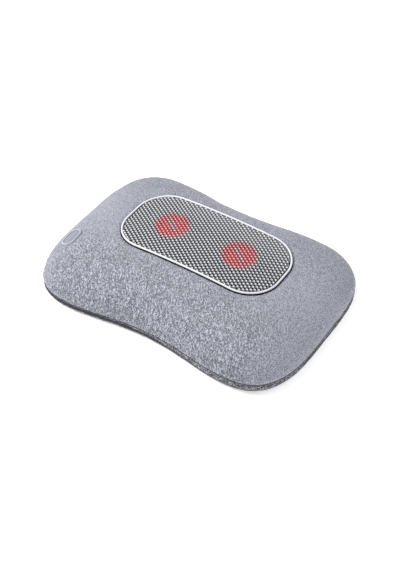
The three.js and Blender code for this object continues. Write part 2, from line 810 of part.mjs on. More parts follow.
for (const [side, x] of [['left', -cellX], ['right', cellX]]) {
  place(pillow, `battery_cell_${side}`, batteryCell(x), wrapBlue);
  place(pillow, `battery_cradle_${side}`, batteryCradle(x), blackPlastic);
}
place(pillow, 'control_board', controlBoard(), circuitGreen);
place(pillow, 'motor_driver', motorDriver(), blackPlastic);
place(pillow, 'board_capacitor', boardCapacitor(), blackPlastic);

const button = new THREE.Group();
button.applyMatrix4(buttonFrame);
pillow.add(button);
place(button, 'button_bezel', buttonBezel(), softGrey);
place(button, 'power_button', powerButton(), softGrey);
place(button, 'button_case', buttonCase(), blackPlastic);
place(button, 'button_board', buttonBoard(), circuitGreen);
place(button, 'tact_switch', tactSwitch(), blackPlastic);

place(pillow, 'charge_socket', chargeSocket(), blackPlastic);
place(pillow, 'socket_bezel', socketBezel(), softGrey);
place(pillow, 'socket_lead', lead(socketLeadPath, leadRadius, 12), leadBlack);
place(pillow, 'button_lead', lead(buttonLeadPath, leadRadius, 16), leadBlack);

place(pillow, 'zip_tape_front', zipTape(-1), zipGrey);
place(pillow, 'zip_tape_rear', zipTape(1), zipGrey);
place(pillow, 'zip_slider', zipSlider(), steel).position.set(zipStartX, zipY, 0);
place(pillow, 'zip_pull', zipPull(), steel).position.set(zipStartX, zipY, pullPivotZ);

export default pillow;
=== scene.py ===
import bisect
import json
import math
import bmesh
import bpy
from mathutils import Matrix, Vector, noise


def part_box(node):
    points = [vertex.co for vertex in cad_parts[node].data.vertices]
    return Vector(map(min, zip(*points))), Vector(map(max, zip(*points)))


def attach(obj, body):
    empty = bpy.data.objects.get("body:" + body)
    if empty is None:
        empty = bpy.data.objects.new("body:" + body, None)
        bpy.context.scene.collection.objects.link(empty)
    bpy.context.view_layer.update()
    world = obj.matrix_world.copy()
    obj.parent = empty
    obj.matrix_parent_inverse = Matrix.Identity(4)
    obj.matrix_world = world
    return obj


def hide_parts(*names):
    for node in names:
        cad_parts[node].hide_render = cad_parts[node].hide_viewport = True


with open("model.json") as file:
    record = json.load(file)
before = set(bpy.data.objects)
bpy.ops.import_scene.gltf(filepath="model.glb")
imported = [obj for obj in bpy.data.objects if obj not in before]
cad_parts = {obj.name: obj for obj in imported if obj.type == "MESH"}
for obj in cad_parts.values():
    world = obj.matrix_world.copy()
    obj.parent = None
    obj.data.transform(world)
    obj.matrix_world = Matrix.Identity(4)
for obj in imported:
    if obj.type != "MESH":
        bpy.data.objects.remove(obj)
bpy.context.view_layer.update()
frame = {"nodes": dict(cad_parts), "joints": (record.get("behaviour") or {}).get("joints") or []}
mm = 0.001
print("frame loaded")

# camera and light

cameraSettings = {
    "azimuth": 33.5, "elevation": 43.3, "distance": 1.55, "aimHeight": 0.045,
    "lens": 76.3, "shiftX": 0.0025, "shiftY": -0.0426,
}


def placeCamera():
    s = cameraSettings
    turn, lift = math.radians(s["azimuth"]), math.radians(s["elevation"])
    back = Vector((math.sin(turn) * math.cos(lift), -math.cos(turn) * math.cos(lift), math.sin(lift)))
    data = bpy.data.cameras.new("camera")
    data.lens = s["lens"]
    data.shift_x, data.shift_y = s["shiftX"], s["shiftY"]
    camera = bpy.data.objects.new("camera", data)
    bpy.context.collection.objects.link(camera)
    camera.location = Vector((0, 0, s["aimHeight"])) + back * s["distance"]
    camera.rotation_euler = (-back).to_track_quat("-Z", "Y").to_euler()
    bpy.context.scene.camera = camera


lights = [
    {"name": "keyPanel", "at": (-0.85, -0.5, 1.15), "size": 0.8, "power": 21.5},
    {"name": "frontPanel", "at": (0.1, -1.3, 0.9), "size": 1.0, "power": 3.5},
    {"name": "rimPanel", "at": (1.0, 0.6, 0.8), "size": 0.8, "power": 5},
]
worldLight = {"color": (0.98, 0.99, 1.0, 1), "strength": 0.5}


def placeLights():
    for entry in lights:
        data = bpy.data.lights.new(entry["name"], "AREA")
        data.size = entry["size"]
        data.energy = entry["power"]
        lamp = bpy.data.objects.new(entry["name"], data)
        bpy.context.collection.objects.link(lamp)
        lamp.location = entry["at"]
        lamp.rotation_euler = (-Vector(entry["at"])).to_track_quat("-Z", "Y").to_euler()
    world = bpy.data.worlds.new("studio")
    world.use_nodes = True
    background = world.node_tree.nodes["Background"]
    background.inputs["Color"].default_value = worldLight["color"]
    background.inputs["Strength"].default_value = worldLight["strength"]
    bpy.context.scene.world = world
    bpy.context.scene.view_settings.view_transform = "Standard"


placeCamera()
placeLights()
print("camera and lights placed")

# shader helpers


class Wire:  # a node's output that takes part in sums
    def __init__(self, shader, socket):
        self.shader = shader
        self.socket = socket

    def math(self, operation, *values):
        inputs = dict(enumerate(values))
        return self.shader.add("ShaderNodeMath", {"operation": operation}, inputs)

    def __add__(self, other):
        return self.math("ADD", self, other)

    def __sub__(self, other):
        return self.math("SUBTRACT", self, other)

    def __rsub__(self, other):
        return self.math("SUBTRACT", other, self)

    def __mul__(self, other):
        return self.math("MULTIPLY", self, other)

    def __truediv__(self, other):
        return self.math("DIVIDE", self, other)

    def __pow__(self, other):
        return self.math("POWER", self, other)

    def __abs__(self):
        return self.math("ABSOLUTE", self)

    __radd__ = __add__
    __rmul__ = __mul__

    def wave(self):  # 0 to 1, highest where the value is a whole number
        return self.math("COSINE", self * math.tau) * 0.5 + 0.5

    def between(self, low, high):  # 0 below low, 1 above high, smooth between
        return self.shader.add(
            "ShaderNodeMapRange", {"interpolation_type": "SMOOTHSTEP"},
            {"Value": self, "From Min": low, "From Max": high})


class Shader:  # a material made node by node
    def __init__(self, name):
        self.material = bpy.data.materials.new(name)
        self.material.use_nodes = True
        self.tree = self.material.node_tree
        self.tree.nodes.clear()
        self.place = self.add("ShaderNodeTexCoord", output="Object")

    def add(self, kind, settings=None, inputs=None, output=0):
        node = self.tree.nodes.new(kind)
        for key, value in (settings or {}).items():
            setattr(node, key, value)
        for key, value in (inputs or {}).items():
            if isinstance(value, Wire):
                self.tree.links.new(value.socket, node.inputs[key])
            else:
                node.inputs[key].default_value = value
        return Wire(self, node.outputs[output])

    def noise(self, scale, detail=2, roughness=0.5, place=None, distortion=0):
        return self.add("ShaderNodeTexNoise", {}, {
            "Vector": place or self.place, "Scale": scale, "Detail": detail,
            "Roughness": roughness, "Distortion": distortion})

    def stretched(self, size, turn=0.0):
        # turned about the upright axis first, then drawn out by size along each axis
        return self.add("ShaderNodeMapping", {"vector_type": "TEXTURE"}, {
            "Vector": self.place, "Scale": size, "Rotation": (0, 0, turn)}, "Vector")

    def cells(self, scale, place=None, feature="F1"):
        return self.add("ShaderNodeTexVoronoi", {"feature": feature}, {
            "Vector": place or self.place, "Scale": scale}, "Distance")

    def mix(self, factor, low, high):
        return self.add("ShaderNodeMix", {"data_type": "RGBA"}, {0: factor, 6: low, 7: high}, 2)

    def axes(self):
        parts = self.add("ShaderNodeSeparateXYZ", {}, {"Vector": self.place})
        node = parts.socket.node
        return [Wire(self, output) for output in node.outputs]

    def attribute(self, name):
        return self.add("ShaderNodeAttribute", {"attribute_name": name}, {}, "Fac")

    def bump(self, height, distance, strength=1.0):
        return self.add("ShaderNodeBump", {}, {
            "Height": height, "Distance": distance, "Strength": strength}, "Normal")

    def done(self, inputs):
        surface = self.add("ShaderNodeBsdfPrincipled", {}, inputs, "BSDF")
        output = self.tree.nodes.new("ShaderNodeOutputMaterial")
        self.tree.links.new(surface.socket, output.inputs["Surface"])
        return self.material


def gray(value, blue=0.0):
    return (value, value * (1 + blue / 3), value * (1 + blue), 1)

# mesh helpers


def makeObject(name, bm, material, body, replaced=(), smooth=True):
    bm.normal_update()
    data = bpy.data.meshes.new(name)
    bm.to_mesh(data)
    bm.free()
    for polygon in data.polygons:
        polygon.use_smooth = smooth
    data.materials.append(material)
    piece = bpy.data.objects.new(name, data)
    bpy.context.collection.objects.link(piece)
    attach(piece, body)
    if replaced:
        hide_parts(*replaced)
    return piece


def wrappedGrid(columns, rows, pointAt, uvSize=(1, 1), layerName=None):
    # a grid bent round to meet itself; pointAt takes a column and a row, and may give a value for a layer too
    bm = bmesh.new()
    bmesh.ops.create_grid(bm, x_segments=columns, y_segments=rows, size=0.5)
    values = bm.verts.layers.float.new(layerName) if layerName else None
    layer = bm.loops.layers.uv.new("UVMap")
    for face in bm.faces:
        for loop in face.loops:
            x, y = loop.vert.co.x + 0.5, loop.vert.co.y + 0.5
            loop[layer].uv = (x * uvSize[0], y * uvSize[1])
    for vert in bm.verts:
        column = round((vert.co.x + 0.5) * columns)
        row = round((vert.co.y + 0.5) * rows)
        if values is None:
            vert.co = pointAt(column, row)
        else:
            vert.co, vert[values] = pointAt(column, row)
    bmesh.ops.remove_doubles(bm, verts=bm.verts, dist=1e-6)
    bmesh.ops.recalc_face_normals(bm, faces=bm.faces)
    return bm


def turnedShape(profile, steps, centre=(0, 0, 0), axis=(0, 0, 1)):
    # a profile of (radius, height) pairs from axis to axis, spun round
    bm = bmesh.new()
    verts = [bm.verts.new((radius, 0, height)) for radius, height in profile]
    edges = [bm.edges.new(pair) for pair in zip(verts, verts[1:])]
    bmesh.ops.spin(bm, geom=verts + edges, cent=(0, 0, 0), axis=(0, 0, 1), angle=math.tau,
                   steps=steps, use_merge=True)
    bmesh.ops.remove_doubles(bm, verts=bm.verts, dist=1e-6)
    bmesh.ops.recalc_face_normals(bm, faces=bm.faces)
    turn = Vector((0, 0, 1)).rotation_difference(Vector(axis)).to_matrix().to_4x4()
    bmesh.ops.transform(bm, matrix=Matrix.Translation(centre) @ turn, verts=bm.verts)
    return bm


def addCopies(target, source, placements):
    # copies of a small shape, one for each matrix
    data = bpy.data.meshes.new("copied")
    source.to_mesh(data)
    source.free()
    for placement in placements:
        data.transform(placement)
        target.from_mesh(data)
        data.transform(placement.inverted())
    bpy.data.meshes.remove(data)


# cushion outline, the same curves as the frame's

cushion = {
    "halfWidth": 0.143, "outlinePower": 4.1, "waist": 0.173,
    "crownRise": 1.7, "crownRound": 2.25, "plushThick": 0.003, "seamRoll": 0.0028,
    "columns": 900, "rows": 84, "pile": 0.00072, "waves": 0.0005, "gather": 0.0006, "rimDip": 0.0012,
    "overhang": 0.0055, "overhangRight": 0.003,
}
panel = {
    "halfLength": 0.1145, "halfWidth": 0.0552, "corner": 0.044, "rimZ": 0.064, "endDrop": 0.0062,
    "pipingRadius": 0.0019, "pipingSeen": 0.0013, "dome": 0.0026, "headBump": 0.001, "headReach": 0.03,
    "shift": -0.0024, "shiftY": -0.002,
}
lattice = {
    "across": 0.004, "along": 0.00275, "link": 0.00062, "thick": 0.0019, "knotRise": 0.0003, "sag": 0.0002,
    "margin": 0.0019, "smallest": 1.1e-5, "steps": 36, "knotSize": (0.00135, 0.0011, 0.00085),
}
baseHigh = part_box("base_cover")[1]
pipingLow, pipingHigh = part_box("panel_piping")
halfLength = baseHigh.x
seamZ = baseHigh.z + 0.3 * mm
panelY = (pipingLow.y + pipingHigh.y) / 2 + panel["shiftY"]
headLow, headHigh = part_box("carrier_right")
headX, headY = (headLow.x + headHigh.x) / 2, (headLow.y + headHigh.y) / 2
headSpots = [Vector((side * headX, headY, 0)) for side in (-1, 1)]


def seamPoint(share):
    angle = share * math.pi / 2
    x = max(math.cos(angle), 0) ** (2 / cushion["outlinePower"])
    y = math.sin(angle) ** (2 / cushion["outlinePower"])
    pull = 1 - cushion["waist"] * math.cos(math.pi * x / 2) ** 2
    return Vector((halfLength * x, cushion["halfWidth"] * y * pull, 0))


def evenSteps(pointAt, steps):
    # points at equal distances along a curve
    fine = [pointAt(i / 3000) for i in range(3001)]
    run = [0]
    for a, b in zip(fine, fine[1:]):
        run.append(run[-1] + (b - a).length)
    spots = []
    for i in range(steps + 1):
        wanted = run[-1] * i / steps
        after = min(max(bisect.bisect_left(run, wanted), 1), 3000)
        part = (wanted - run[after - 1]) / (run[after] - run[after - 1])
        spots.append(fine[after - 1].lerp(fine[after], part))
    return spots


def allRound(quarter):
    # the other three quarters by mirroring, with the first point again at the end
    steps = len(quarter) - 1
    ring = []
    for k in range(4 * steps + 1):
        turn, i = divmod(k, steps)
        turn %= 4
        point = quarter[steps - i if turn % 2 else i]
        ring.append(Vector((point.x if turn in (0, 3) else -point.x, point.y if turn < 2 else -point.y, 0)))
    return ring


def roundedQuarter(halfX, halfY, radius):
    lines = (halfY - radius, radius * math.pi / 2, halfX - radius)

    def pointAt(share):
        run = share * sum(lines)
        if run < lines[0]:
            return Vector((halfX, run, 0))
        if run < lines[0] + lines[1]:
            angle = (run - lines[0]) / radius
            return Vector((halfX - radius + radius * math.cos(angle),
                           halfY - radius + radius * math.sin(angle), 0))
        return Vector((halfX - radius - (run - lines[0] - lines[1]), halfY, 0))
    return pointAt


def panelRing(grow, columns):
    # centred on the panel's own middle
    quarter = roundedQuarter(panel["halfLength"] + grow, panel["halfWidth"] + grow,
                             max(panel["corner"] + grow, 0.002))
    return [point + Vector((panel["shift"], 0, 0)) for point in allRound(evenSteps(quarter, columns // 4))]


def rimHeight(x):
    return panel["rimZ"] - panel["endDrop"] * (x / panel["halfLength"]) ** 2


columns = cushion["columns"]
seamLine = allRound(evenSteps(seamPoint, columns // 4))
rimLine = panelRing(panel["pipingRadius"] + 0.3 * mm, columns)


def crownPoint(rise, column):
    low, high = seamLine[column % columns], rimLine[column % columns]
    lift = (1 - (1 - rise) ** cushion["crownRise"]) ** (1 / cushion["crownRound"])
    return Vector((low.x + (high.x - low.x) * rise, low.y + (high.y + panelY - low.y) * rise,
                   seamZ + (rimHeight(high.x) - seamZ) * lift - seamDrop(low) * (1 - lift) ** 5))


def seamDrop(point):
    # how far the plush hangs over the seam: most at the left end, least at the right front corner
    share = min(max((0.13 - point.x) / 0.32, 0), 1)
    side = min(max((point.y + 0.1) / 0.06, 0), 1) * min(max((point.x - 0.12) / 0.05, 0), 1)
    return 0.8 * mm + cushion["overhang"] * share * (2 - share) + cushion["overhangRight"] * side


def seamOutward(column):
    ahead, behind = seamLine[(column + 1) % columns], seamLine[(column - 1) % columns]
    along = (ahead - behind).normalized()
    return Vector((along.y, -along.x, 0))


# button on the left end of the crown

pressAxis = next(j["axis"] for j in frame["joints"] if j["name"] == "button_press")
buttonUp = -Vector(pressAxis).normalized()
bezelLow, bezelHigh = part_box("button_bezel")
buttonAt = (bezelLow + bezelHigh) / 2 + buttonUp * 2.9 * mm
buttonAlong = (Vector((0, 1, 0)) - buttonUp * buttonUp.y).normalized()
buttonAcross = buttonUp.cross(buttonAlong)
buttonFrame = Matrix.Translation(buttonAt) @ Matrix(
    (buttonAlong, buttonAcross, buttonUp)).transposed().to_4x4()
button = {"straight": 0.006, "outer": 0.0105, "inner": 0.0075, "capCrown": 0.0011}
socketLow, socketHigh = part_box("socket_bezel")
socketAt = Vector(((socketLow.x + socketHigh.x) / 2, socketHigh.y, (socketLow.z + socketHigh.z) / 2))
socketRadius = (socketHigh.x - socketLow.x) / 2
outOfButton = buttonFrame.inverted()


def offButton(point, radius):
    # how far outside the button's oval, and the same point brought onto it
    local = outOfButton @ point
    if abs(local.z) > 12 * mm:
        return 1, point
    spine = Vector((max(-button["straight"], min(button["straight"], local.x)), 0, 0))
    flat = Vector((local.x, local.y, 0)) - spine
    if flat.length < 1e-7:
        return -radius, point
    onOval = spine + flat.normalized() * radius
    return flat.length - radius, buttonFrame @ Vector((onOval.x, onOval.y, local.z))


def offSocket(point, radius):
    if point.y < socketAt.y - 20 * mm:
        return 1, point
    flat = Vector((point.x - socketAt.x, 0, point.z - socketAt.z))
    if flat.length < 1e-7:
        return -radius, point
    ring = flat.normalized() * radius
    return flat.length - radius, Vector((socketAt.x + ring.x, point.y, socketAt.z + ring.z))


def openHole(bm, test, radius):
    # faces inside are removed, and the edge left is drawn onto the outline and closed through the cloth
    inside = [f for f in bm.faces if test(f.calc_center_median(), radius)[0] < 0]
    bmesh.ops.delete(bm, geom=inside, context="FACES")
    rim = [e for e in bm.edges if e.is_boundary]
    for vert in {v for e in rim for v in e.verts}:
        vert.co = test(vert.co, radius)[1]
    bmesh.ops.bridge_loops(bm, edges=rim)

# cloth materials

plushLook = {
    "light": (0.45, 0.462, 0.525, 1), "dark": (0.10, 0.106, 0.145, 1), "stroke": 560, "fibre": 1150,
    "patch": 14, "bump": 0.0016, "comb": 0.55, "drawn": 2.4, "tiltAndLowFrontShade": 0.29, "crease": 0.09, "backShade": 0.16,
}


def plushMaterial():
    s = Shader("greyPlush")
    combed = s.stretched((1, plushLook["drawn"], plushLook["drawn"]), plushLook["comb"])
    stroke = s.noise(plushLook["stroke"], 2, 0.5, combed, 0.35)
    fibre = s.noise(plushLook["fibre"], 2, 0.6)
    patch = s.noise(plushLook["patch"], 2)
    pile = s.attribute("pile")
    x, y, z = s.axes()
    # the front slope is brushed into deep strokes; painted shade darkens the creases between them
    front = (y * -1).between(-0.01, 0.07) * (1 - x.between(0.12, 0.19)) * (x.between(-0.185, -0.12) * 0.7 + 0.3)
    crease = abs(stroke - 0.5).between(0.0, plushLook["crease"])
    height = crease * (front * 0.35 + 0.3) + fibre * (0.7 - front * 0.35)
    shade = (crease - 0.55) * (front * 0.44 + 0.28) + (fibre - 0.5) * (4.4 - front * 2.5)
    # the pile's height is painted into the colour as shade, the low pile darker
    shade = shade + front * 0.09 + 0.56 + pile * (front * 0.08 + 0.06) + (patch - 0.5) * 0.2
    # painted shade: the front slope is darker low down, near the seam
    shade = shade - front * plushLook["tiltAndLowFrontShade"] * (1 - z.between(0.02, 0.06))
    shade = shade - y.between(0.02, 0.1) * (1 - x.between(-0.1, 0.1) * 0.6) * plushLook["backShade"]
    color = s.mix(shade.between(0.0, 1.0), plushLook["dark"], plushLook["light"])
    return s.done({
        "Base Color": color, "Roughness": 0.95, "Sheen Weight": 0.3, "Sheen Roughness": 0.5,
        "Specular IOR Level": 0.15, "Normal": s.bump(height, plushLook["bump"], front * 0.5 + 0.5)})


heatherLook = {
    "dark": (0.016, 0.016, 0.022, 1), "light": (0.52, 0.53, 0.57, 1), "fleck": 620, "strand": 300,
    "grooveZ": 0.0085,
}


def heatherMaterial():
    s = Shader("heatherKnit")
    fleck = s.noise(heatherLook["fleck"], 3, 0.7)
    strand = s.noise(heatherLook["strand"], 2, 0.5, s.stretched((1, 1, 0.33)))
    x, y, z = s.axes()
    # a line of close stitching half way up the band
    groove = 1 - abs(z - heatherLook["grooveZ"]).between(0.0006, 0.0018)
    shade = fleck * 0.75 + strand * 0.25 - groove * 0.13
    return s.done({
        "Base Color": s.mix(shade.between(0.42, 0.7), heatherLook["dark"], heatherLook["light"]),
        "Roughness": 0.9, "Sheen Weight": 0.2, "Normal": s.bump(shade - groove * 0.5, 0.0008, 0.8)})


def satinMaterial():
    s = Shader("satinPiping")
    along = s.add("ShaderNodeUVMap", {"uv_map": "UVMap"})
    weave = s.add("ShaderNodeTexWave", {"bands_direction": "DIAGONAL"}, {
        "Vector": along, "Scale": 180, "Distortion": 0.6}, "Fac")
    soil = s.noise(60, 2)
    color = s.mix(weave * 0.35 + soil * 0.4, (0.80, 0.81, 0.85, 1), (0.60, 0.62, 0.67, 1))
    return s.done({
        "Base Color": color, "Roughness": 0.5, "Sheen Weight": 0.1,
        "Normal": s.bump(weave, 0.00012, 0.5)})


# the hole colours are painted shade; the lit colours and the glow are painted red light from the heads
meshLook = {
    "knot": (0.82, 0.83, 0.86, 1), "link": (0.05, 0.052, 0.058, 1), "streak": (0.30, 0.31, 0.33, 1),
    "deep": (0.006, 0.006, 0.007, 1), "closed": (0.14, 0.145, 0.155, 1),
    "litDark": (0.20, 0.012, 0.015, 1), "litDeep": (0.09, 0.003, 0.004, 1), "glow": (1.0, 0.06, 0.06, 1), "glowRadius": 0.0222, "strength": 0.1,
    "glowShift": (-0.0025, -0.0025), "grooveTurn": -39, "grooveHalf": 0.0028,
}


def glowMask(s):
    # painted red light from the heads below: 1 over the lit heads, fading at the rim, with a dimmer band of painted
    # shade along the groove between the lobes
    x, y, z = s.axes()
    shiftX, shiftY = meshLook["glowShift"]
    fromX = abs(x - shiftX) - headX
    fromX = fromX * (x - shiftX).math("SIGN", x - shiftX)
    fromY = y - (headY + shiftY)
    far = (fromX * fromX + fromY * fromY) ** 0.5
    turn = math.radians(meshLook["grooveTurn"])
    aside = abs(fromY * math.cos(turn) - fromX * math.sin(turn))
    band = 1 - aside.between(meshLook["grooveHalf"] * 0.5, meshLook["grooveHalf"] * 1.5)
    disc = 1 - far.between(meshLook["glowRadius"] * 0.76, meshLook["glowRadius"] * 1.26)
    middle = 1 - far.between(meshLook["glowRadius"] * 0.45, meshLook["glowRadius"] * 0.8)
    return disc * (1 - band * middle * 0.8)


def yarnMaterial(name, low, high, share, lit):
    # share goes from low, the dark of the yarn, to high; lit is the painted red light colour over the heads
    s = Shader(name)
    depth = s.attribute("depth")
    x, y, z = s.axes()
    slanted = (x - panel["shift"]) / (2 * lattice["across"])
    rising = (y - panelY) / (2 * lattice["along"])
    along = (slanted + rising).wave()
    twist = s.noise(2600, 2, 0.6, s.stretched((1, 1, 3.3)))
    # towards the back edge the yarn is painted lighter and the painted shade in the holes turns lighter grey
    back = ((y - panelY) + x * 0.16).between(0.012, 0.05)
    shade = (along * share + (twist - 0.5) * 0.5).between(0.1, 0.9)
    cloth = s.mix(shade * (1 - back * 0.45) + back * 0.4, low, high)
    # painted shade down the holes: the yarn darkens from the top of each wall to its foot
    deep = s.mix(back * 0.8, meshLook["deep"], meshLook["closed"])
    color = s.mix(depth.between(0.1, 0.5), cloth, deep)
    glow = glowMask(s)
    # painted red light over the heads, darker down the holes, and the yarn is given a red glow there as well
    tint = s.mix(depth.between(0.1, 0.6), s.mix(shade, meshLook["litDark"], lit), meshLook["litDeep"])
    light = s.mix(glow * (1 - depth * 0.7), (0, 0, 0, 1), meshLook["glow"])
    return s.done({
        "Base Color": s.mix(glow * 0.88, color, tint), "Roughness": 0.6, "Sheen Weight": 0.15,
        "Emission Color": light, "Emission Strength": meshLook["strength"],
        "Normal": s.bump(twist, 0.0002, 0.4)})


def foamMaterial():
    s = Shader("charcoalFoam")
    pores = s.cells(900)
    shade = pores * 0.8 + s.noise(40, 2) * 0.3
    return s.done({
        "Base Color": s.mix(shade.between(0.1, 0.9), (0.012, 0.012, 0.014, 1), (0.055, 0.056, 0.062, 1)),
        "Roughness": 0.95, "Normal": s.bump(pores, 0.0005, 0.9)})


def tapeMaterial():
    s = Shader("zipTape")
    x, y, z = s.axes()
    twill = ((x + y) * 800).wave()
    color = s.mix(twill * 0.5 + s.noise(300, 2) * 0.5, (0.06, 0.062, 0.07, 1), (0.17, 0.175, 0.19, 1))
    return s.done({"Base Color": color, "Roughness": 0.85, "Normal": s.bump(twill, 0.0002, 0.6)})


# hard materials


def mouldedMaterial(name, color, roughness, grain=1400, texture=0.00012):
    s = Shader(name)
    pits = s.noise(grain, 3, 0.6)
    wear = s.noise(35, 3)
    light = tuple(min(c * 1.28 + 0.008, 1) for c in color[:3]) + (1,)
    return s.done({
        "Base Color": s.mix(wear.between(0.3, 0.75), color, light),
        "Roughness": (pits - 0.5) * 0.2 + (wear - 0.5) * 0.12 + roughness,
        "Normal": s.bump(pits, texture, 0.5)})


def metalMaterial(name, color, roughness, brushing=(1, 1, 25), scale=1800):
    s = Shader(name)
    lines = s.noise(scale, 3, 0.6, s.stretched(brushing))
    stain = s.noise(55, 3)
    dull = tuple(c * 0.72 for c in color[:3]) + (1,)
    return s.done({
        "Base Color": s.mix(stain * 0.5 + lines * 0.4, color, dull), "Metallic": 1.0,
        "Roughness": (lines - 0.5) * 0.22 + (stain - 0.5) * 0.15 + roughness,
        "Normal": s.bump(lines, 0.00004, 0.35)})


def boardMaterial():
    s = Shader("circuitBoard")
    tracks = s.cells(420, None, "DISTANCE_TO_EDGE")
    copper = 1 - tracks.between(0.02, 0.06)
    color = s.mix(copper, (0.006, 0.085, 0.035, 1), (0.03, 0.21, 0.085, 1))
    return s.done({"Base Color": color, "Roughness": 0.35 - copper * 0.08, "Normal": s.bump(copper, 0.00004, 0.6)})


lensLook = {"body": (0.60, 0.012, 0.018, 1), "glow": (1.0, 0.035, 0.03, 1), "strength": 0.3}


def lensMaterial():
    s = Shader("redLens")
    x, y, z = s.axes()
    cloud = s.noise(160, 2)
    top = z.between(0.043, 0.058)
    glow = s.mix(top * 0.75 + cloud * 0.35, (0.18, 0.0, 0.0, 1), lensLook["glow"])
    return s.done({
        "Base Color": s.mix(cloud * 0.6, lensLook["body"], (0.95, 0.16, 0.13, 1)), "Roughness": 0.28,
        "Coat Weight": 0.3, "Emission Color": glow, "Emission Strength": lensLook["strength"],
        "Normal": s.bump(cloud, 0.0001, 0.3)})


def wrapMaterial():
    s = Shader("cellSleeve")
    x, y, z = s.axes()
    fromMiddle = abs(y - headY)
    ends = fromMiddle.between(0.0312, 0.0318)
    crease = s.noise(240, 2, 0.6, s.stretched((1, 6.7, 1)))
    color = s.mix(ends, s.mix(crease * 0.5, (0.02, 0.10, 0.33, 1), (0.05, 0.19, 0.50, 1)), (0.6, 0.61, 0.62, 1))
    return s.done({
        "Base Color": color, "Metallic": ends, "Roughness": 0.3 + crease * 0.12,
        "Normal": s.bump(crease, 0.0001, 0.4)})


plush = plushMaterial()
heather = heatherMaterial()
satin = satinMaterial()
spacer = yarnMaterial("spacerMesh", meshLook["link"], meshLook["streak"], 1.0, (0.42, 0.09, 0.10, 1))
knotYarn = yarnMaterial("knotYarn", meshLook["streak"], meshLook["knot"], 1.6, (0.84, 0.46, 0.50, 1))
charcoal = foamMaterial()
liningCloth = mouldedMaterial("liningCloth", (0.006, 0.006, 0.007, 1), 0.9, 2400, 0.0002)
tapeCloth = tapeMaterial()
redLens = lensMaterial()
caseGrey = mouldedMaterial("caseGrey", (0.022, 0.023, 0.026, 1), 0.6)
acetal = mouldedMaterial("acetal", (0.70, 0.68, 0.63, 1), 0.4, 900, 0.00005)
black = mouldedMaterial("blackPlastic", (0.012, 0.012, 0.013, 1), 0.5)
softGrey = mouldedMaterial("softGrey", (0.245, 0.252, 0.29, 1), 0.85, 900, 0.0004)
# painted highlight: the raised button ring and power mark are a lighter grey than the cap
ridgeHighlightGrey = mouldedMaterial("ridgeHighlightGrey", (0.36, 0.37, 0.42, 1), 0.8, 900, 0.0003)
leadSheath = mouldedMaterial("leadSheath", (0.015, 0.015, 0.016, 1), 0.55, 700, 0.00005)
board = boardMaterial()
sleeve = wrapMaterial()
steel = metalMaterial("turnedSteel", (0.62, 0.63, 0.65, 1), 0.3)
motorSteel = metalMaterial("platedSteel", (0.42, 0.43, 0.45, 1), 0.38, (25, 1, 1))
brass = metalMaterial("cutBrass", (0.72, 0.50, 0.20, 1), 0.3, (5, 1, 1))
print("materials made")

# plush cover: one closed shell, pile outside, rolled in at the seam and down at the piping

pileLayer = "pile"


def pileHeight(point):
    # short strokes combed down the front slope, finer grains elsewhere
    front = min(max((-point.y - 0.01) / 0.07, 0), 1) * min(max((0.2 - point.x) / 0.06, 0), 1)
    bend = noise.noise_vector(point / 0.012) * 0.7
    turn = plushLook["comb"]
    across = point.x * math.cos(turn) + point.y * math.sin(turn)
    along = point.y * math.cos(turn) - point.x * math.sin(turn)
    strokes = noise.noise(Vector((across / 0.0024, along / 0.006, point.z / 0.006)) + bend)
    grains = noise.noise(point / 0.0024 + bend)
    size = 0.4 + 0.6 * front
    return (strokes * front + grains * (1 - front)) * 1.5 * size


def evenRises(count):
    # heights up the crown, at equal distances along the cloth
    fine = [(i / 1200) ** 3 for i in range(1201)]
    run = [0]
    for a, b in zip(fine, fine[1:]):
        run.append(run[-1] + (crownPoint(b, columns // 8) - crownPoint(a, columns // 8)).length)
    picks = [min(bisect.bisect_left(run, run[-1] * i / count), 1200) for i in range(count + 1)]
    return [fine[i] for i in picks]


def crownNormal(rise, column):
    start = min(rise, 0.994)
    along = crownPoint(start, column + 1) - crownPoint(start, column - 1)
    up = crownPoint(start + 0.004, column) - crownPoint(start, column)
    return along.cross(up).normalized()


outerRises = evenRises(cushion["rows"])
innerRises = [1.0, 0.99, 0.96, 0.85, 0.7, 0.52, 0.36, 0.22, 0.12, 0.05, 0.015, 0.004]


def plushPoint(column, row):
    k = column % columns
    if row > cushion["rows"]:
        rise = innerRises[(row - cushion["rows"] - 1) % len(innerRises)]
        base = crownPoint(rise, k) - crownNormal(rise, k) * cushion["plushThick"]
        foot = crownPoint(0, k).z
        fold = seamOutward(k) * cushion["seamRoll"] * math.exp(-((base.z - foot) / (4 * mm)) ** 2)
        base.z = max(base.z, foot + 0.1 * mm)
        return base - fold * 0.9, 0.5
    rise = outerRises[row]
    base, normal = crownPoint(rise, k), crownNormal(rise, k)
    above = base.z - crownPoint(0, k).z
    seamNear = math.exp(-(above / (3.2 * mm)) ** 2)
    rimNear = math.exp(-((1 - rise) * 22) ** 2)
    height = pileHeight(base)
    swell = noise.noise(base / 0.05) * cushion["waves"] * 1.6 + noise.noise(base / 0.022) * cushion["waves"]
    gather = noise.noise(Vector((k / columns * 66, 0, base.z / 0.03))) * math.exp(-above / (14 * mm))
    lift = height * cushion["pile"] * (1 - 0.5 * seamNear) + swell * (1 - rimNear) * (1 - seamNear)
    lift += gather * cushion["gather"] * (1 - seamNear)
    point = base + normal * (lift - cushion["pile"])
    point -= seamOutward(k) * cushion["seamRoll"] * seamNear
    point.z -= cushion["rimDip"] * rimNear
    return point, height


def plushCover():
    rows = cushion["rows"] + 1 + len(innerRises)
    bm = wrappedGrid(columns, rows, plushPoint, layerName=pileLayer)
    openHole(bm, offButton, button["outer"] + 0.25 * mm)
    openHole(bm, offSocket, socketRadius + 0.25 * mm)
    bmesh.ops.recalc_face_normals(bm, faces=bm.faces)
    cover = makeObject("plushCover", bm, plush, "pillow", ["top_cover"])
    return cover


cover = plushCover()
print("plush cover made", len(cover.data.polygons))

# base cover: a heather band under the seam, round at the foot, flat underneath, open at the zip

